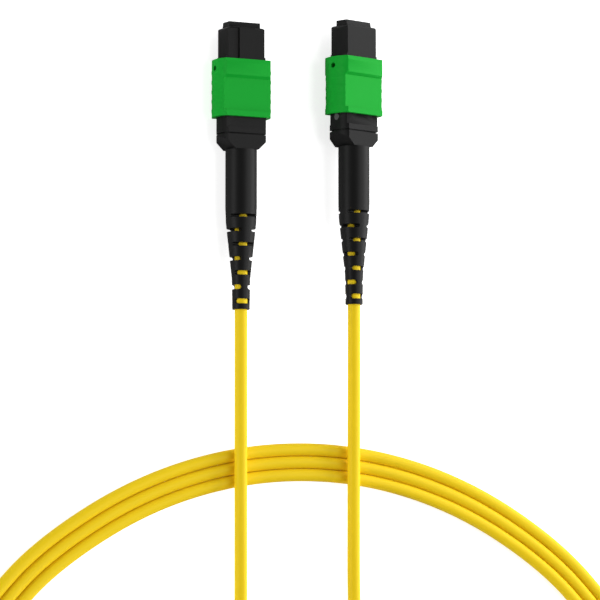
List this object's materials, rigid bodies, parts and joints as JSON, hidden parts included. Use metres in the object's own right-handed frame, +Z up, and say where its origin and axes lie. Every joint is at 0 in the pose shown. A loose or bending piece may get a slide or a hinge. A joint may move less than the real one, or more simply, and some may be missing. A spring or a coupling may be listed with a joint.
{
  "type": "mpo fibre connector",
  "caption": "Rectangular multi-fibre push-on plug with a keyed nose, green sliding sleeve and slotted boot, on a round yellow patch cable laid in a flat oval coil to its twin plug.",
  "frame": {"origin": "centre of the first plug on the surface it lies on, below the middle of its length from boot to ferrule lip", "axes": "+Y along the first plug towards its nose, +Z up through its key face, +X to the right seen from above with the nose away"},
  "size_m": [0.187, 0.2325, 0.0109],
  "materials": {
    "boot": "black flexible plastic with a fine satin moulding",
    "housing": "black moulded plastic, satin",
    "sleeve": "bright green moulded plastic, satin",
    "jacket": "yellow cable jacket, smooth satin",
    "ferrule": "dark glass-filled moulding with a polished end face",
    "spring_steel": "bright spring wire and pressed clip",
    "crimp_metal": "plain crimped ring",
    "grommet": "soft black rubber",
    "ribbon": "flat bonded fibres with a clear coating"
  },
  "bodies": {
    "housings_and_cable": {"strain_relief_boot_a": "boot", "crimp_ring_a": "crimp_metal", "rear_body_a": "housing", "plug_frame_a": "housing", "sleeve_springs_a": "spring_steel", "main_spring_a": "spring_steel", "strain_relief_boot_b": "boot", "crimp_ring_b": "crimp_metal", "rear_body_b": "housing", "plug_frame_b": "housing", "sleeve_springs_b": "spring_steel", "main_spring_b": "spring_steel", "cable_coil": "jacket", "cable_leg_a": "jacket", "cable_leg_b": "jacket"},
    "sleeve_a": {"coupling_sleeve_a": "sleeve"},
    "ferrule_a": {"mt_ferrule_a": "ferrule", "ferrule_grommet_a": "grommet", "pin_keeper_a": "spring_steel", "fibre_ribbon_a": "ribbon"},
    "sleeve_b": {"coupling_sleeve_b": "sleeve"},
    "ferrule_b": {"mt_ferrule_b": "ferrule", "ferrule_grommet_b": "grommet", "pin_keeper_b": "spring_steel", "fibre_ribbon_b": "ribbon"}
  },
  "joints": [
    {"name": "sleeve_a_slide", "type": "slide", "parent": "housings_and_cable", "child": "sleeve_a", "axis": [0, -1, 0], "range_m": [0, 0.0022], "stiffness_N_per_m": 600, "springref_m": -0.002, "deforming": ["sleeve_springs_a"]},
    {"name": "ferrule_a_slide", "type": "slide", "parent": "housings_and_cable", "child": "ferrule_a", "axis": [0, -1, 0], "range_m": [0, 0.001], "stiffness_N_per_m": 4000, "springref_m": -0.0015, "deforming": ["main_spring_a"]},
    {"name": "sleeve_b_slide", "type": "slide", "parent": "housings_and_cable", "child": "sleeve_b", "axis": [0, -1, 0], "range_m": [0, 0.0022], "stiffness_N_per_m": 600, "springref_m": -0.002, "deforming": ["sleeve_springs_b"]},
    {"name": "ferrule_b_slide", "type": "slide", "parent": "housings_and_cable", "child": "ferrule_b", "axis": [0, -1, 0], "range_m": [0, 0.001], "stiffness_N_per_m": 4000, "springref_m": -0.0015, "deforming": ["main_spring_b"]}
  ]
}
